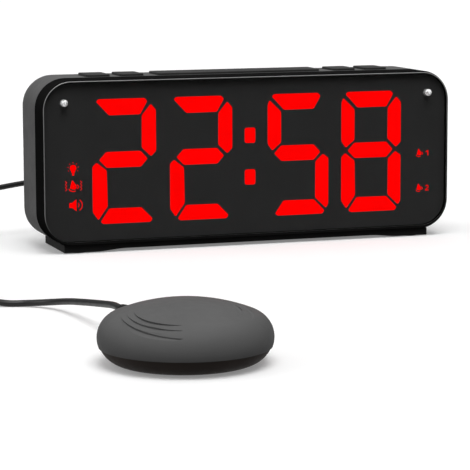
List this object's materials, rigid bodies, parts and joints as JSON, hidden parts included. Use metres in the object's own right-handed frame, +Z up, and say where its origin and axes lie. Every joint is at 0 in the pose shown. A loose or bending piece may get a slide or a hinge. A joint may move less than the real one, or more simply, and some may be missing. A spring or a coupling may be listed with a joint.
{
  "type": "bed shaker alarm clock",
  "caption": "Wide seven-segment alarm clock with top keys and smoked panel, wired to a round vibrating bed shaker puck.",
  "frame": {"origin": "middle of the clock's footprint on the table", "axes": "+Z up, the display looks along -Y, +X is to the right of a viewer who faces the display"},
  "size_m": [0.2874, 0.3443, 0.0767],
  "materials": {
    "case_matte": "fine spark-eroded texture",
    "frame_gloss": "polished",
    "panel_smoke": "smoked, hard coated",
    "light_box_white": "matt",
    "segment_lit": "lit diffuser",
    "segment_dark": "unlit diffuser",
    "lamp_clear": "clear resin",
    "plinth_matte": "fine texture",
    "key_satin": "satin",
    "switch_metal": "plated",
    "board_green": "solder mask",
    "rubber_black": "matt",
    "speaker_steel": "satin",
    "cone_paper": "matt",
    "plated_steel": "bright plated",
    "socket_black": "matt",
    "puck_soft": "soft-touch satin",
    "puck_lower": "fine texture",
    "motor_steel": "drawn",
    "weight_metal": "sintered",
    "lead_black": "satin jacket",
    "tie_black": "hook and loop"
  },
  "bodies": {
    "root": {"rear_case": "case_matte", "front_frame": "frame_gloss", "front_lens": "panel_smoke", "light_box": "light_box_white", "digit_1": "segment_lit", "digit_2": "segment_lit", "digit_3": "segment_lit", "digit_4": "segment_lit", "colon": "segment_lit", "unlit_segments": "segment_dark", "flash_lamp_left": "lamp_clear", "flash_lamp_right": "lamp_clear", "base_plinth": "plinth_matte", "foot_pads": "rubber_black", "key_switches": "switch_metal", "key_board": "board_green", "key_board_screws": "plated_steel", "main_board": "board_green", "display_board": "board_green", "speaker_basket": "speaker_steel", "speaker_cone": "cone_paper", "speaker_magnet": "plated_steel", "power_inlet": "socket_black", "shaker_socket": "socket_black", "usb_port": "plated_steel", "case_screws": "plated_steel", "puck_upper_shell": "puck_soft", "puck_lower_shell": "puck_lower", "puck_motor": "motor_steel", "puck_motor_clamp": "puck_lower", "puck_screws": "plated_steel", "puck_pad": "rubber_black", "puck_strain_relief": "lead_black", "lead_plug": "lead_black", "clock_lead": "lead_black", "puck_lead": "lead_black", "lead_coil": "lead_black", "lead_tie": "tie_black"},
    "snooze": {"snooze_bar": "key_satin"},
    "set": {"set_key": "key_satin"},
    "minus": {"minus_key": "key_satin"},
    "plus": {"plus_key": "key_satin"},
    "shaker": {"shaker_key": "key_satin"},
    "drawer": {"coin_drawer": "case_matte", "coin_cell": "plated_steel"},
    "eccentric": {"puck_motor_shaft": "plated_steel", "puck_weight": "weight_metal"}
  },
  "joints": [
    {"name": "snooze_bar_press", "type": "slide", "parent": "root", "child": "snooze", "axis": [0, 0, -1], "range_m": [0, 0.0005], "stiffness_N_per_m": 400, "springref_m": -0.0005},
    {"name": "set_key_press", "type": "slide", "parent": "root", "child": "set", "axis": [0, 0, -1], "range_m": [0, 0.0005], "stiffness_N_per_m": 400, "springref_m": -0.0005},
    {"name": "minus_key_press", "type": "slide", "parent": "root", "child": "minus", "axis": [0, 0, -1], "range_m": [0, 0.0005], "stiffness_N_per_m": 400, "springref_m": -0.0005},
    {"name": "plus_key_press", "type": "slide", "parent": "root", "child": "plus", "axis": [0, 0, -1], "range_m": [0, 0.0005], "stiffness_N_per_m": 400, "springref_m": -0.0005},
    {"name": "shaker_key_press", "type": "slide", "parent": "root", "child": "shaker", "axis": [0, 0, -1], "range_m": [0, 0.0005], "stiffness_N_per_m": 400, "springref_m": -0.0005},
    {"name": "coin_drawer_slide", "type": "slide", "parent": "root", "child": "drawer", "axis": [0, 1, 0], "range_m": [0, 0.02]},
    {"name": "eccentric_spin", "type": "hinge", "parent": "root", "child": "eccentric", "pos_m": [-0.108, -0.263, 0.0082], "axis": [0, 1, 0], "continuous": true}
  ]
}
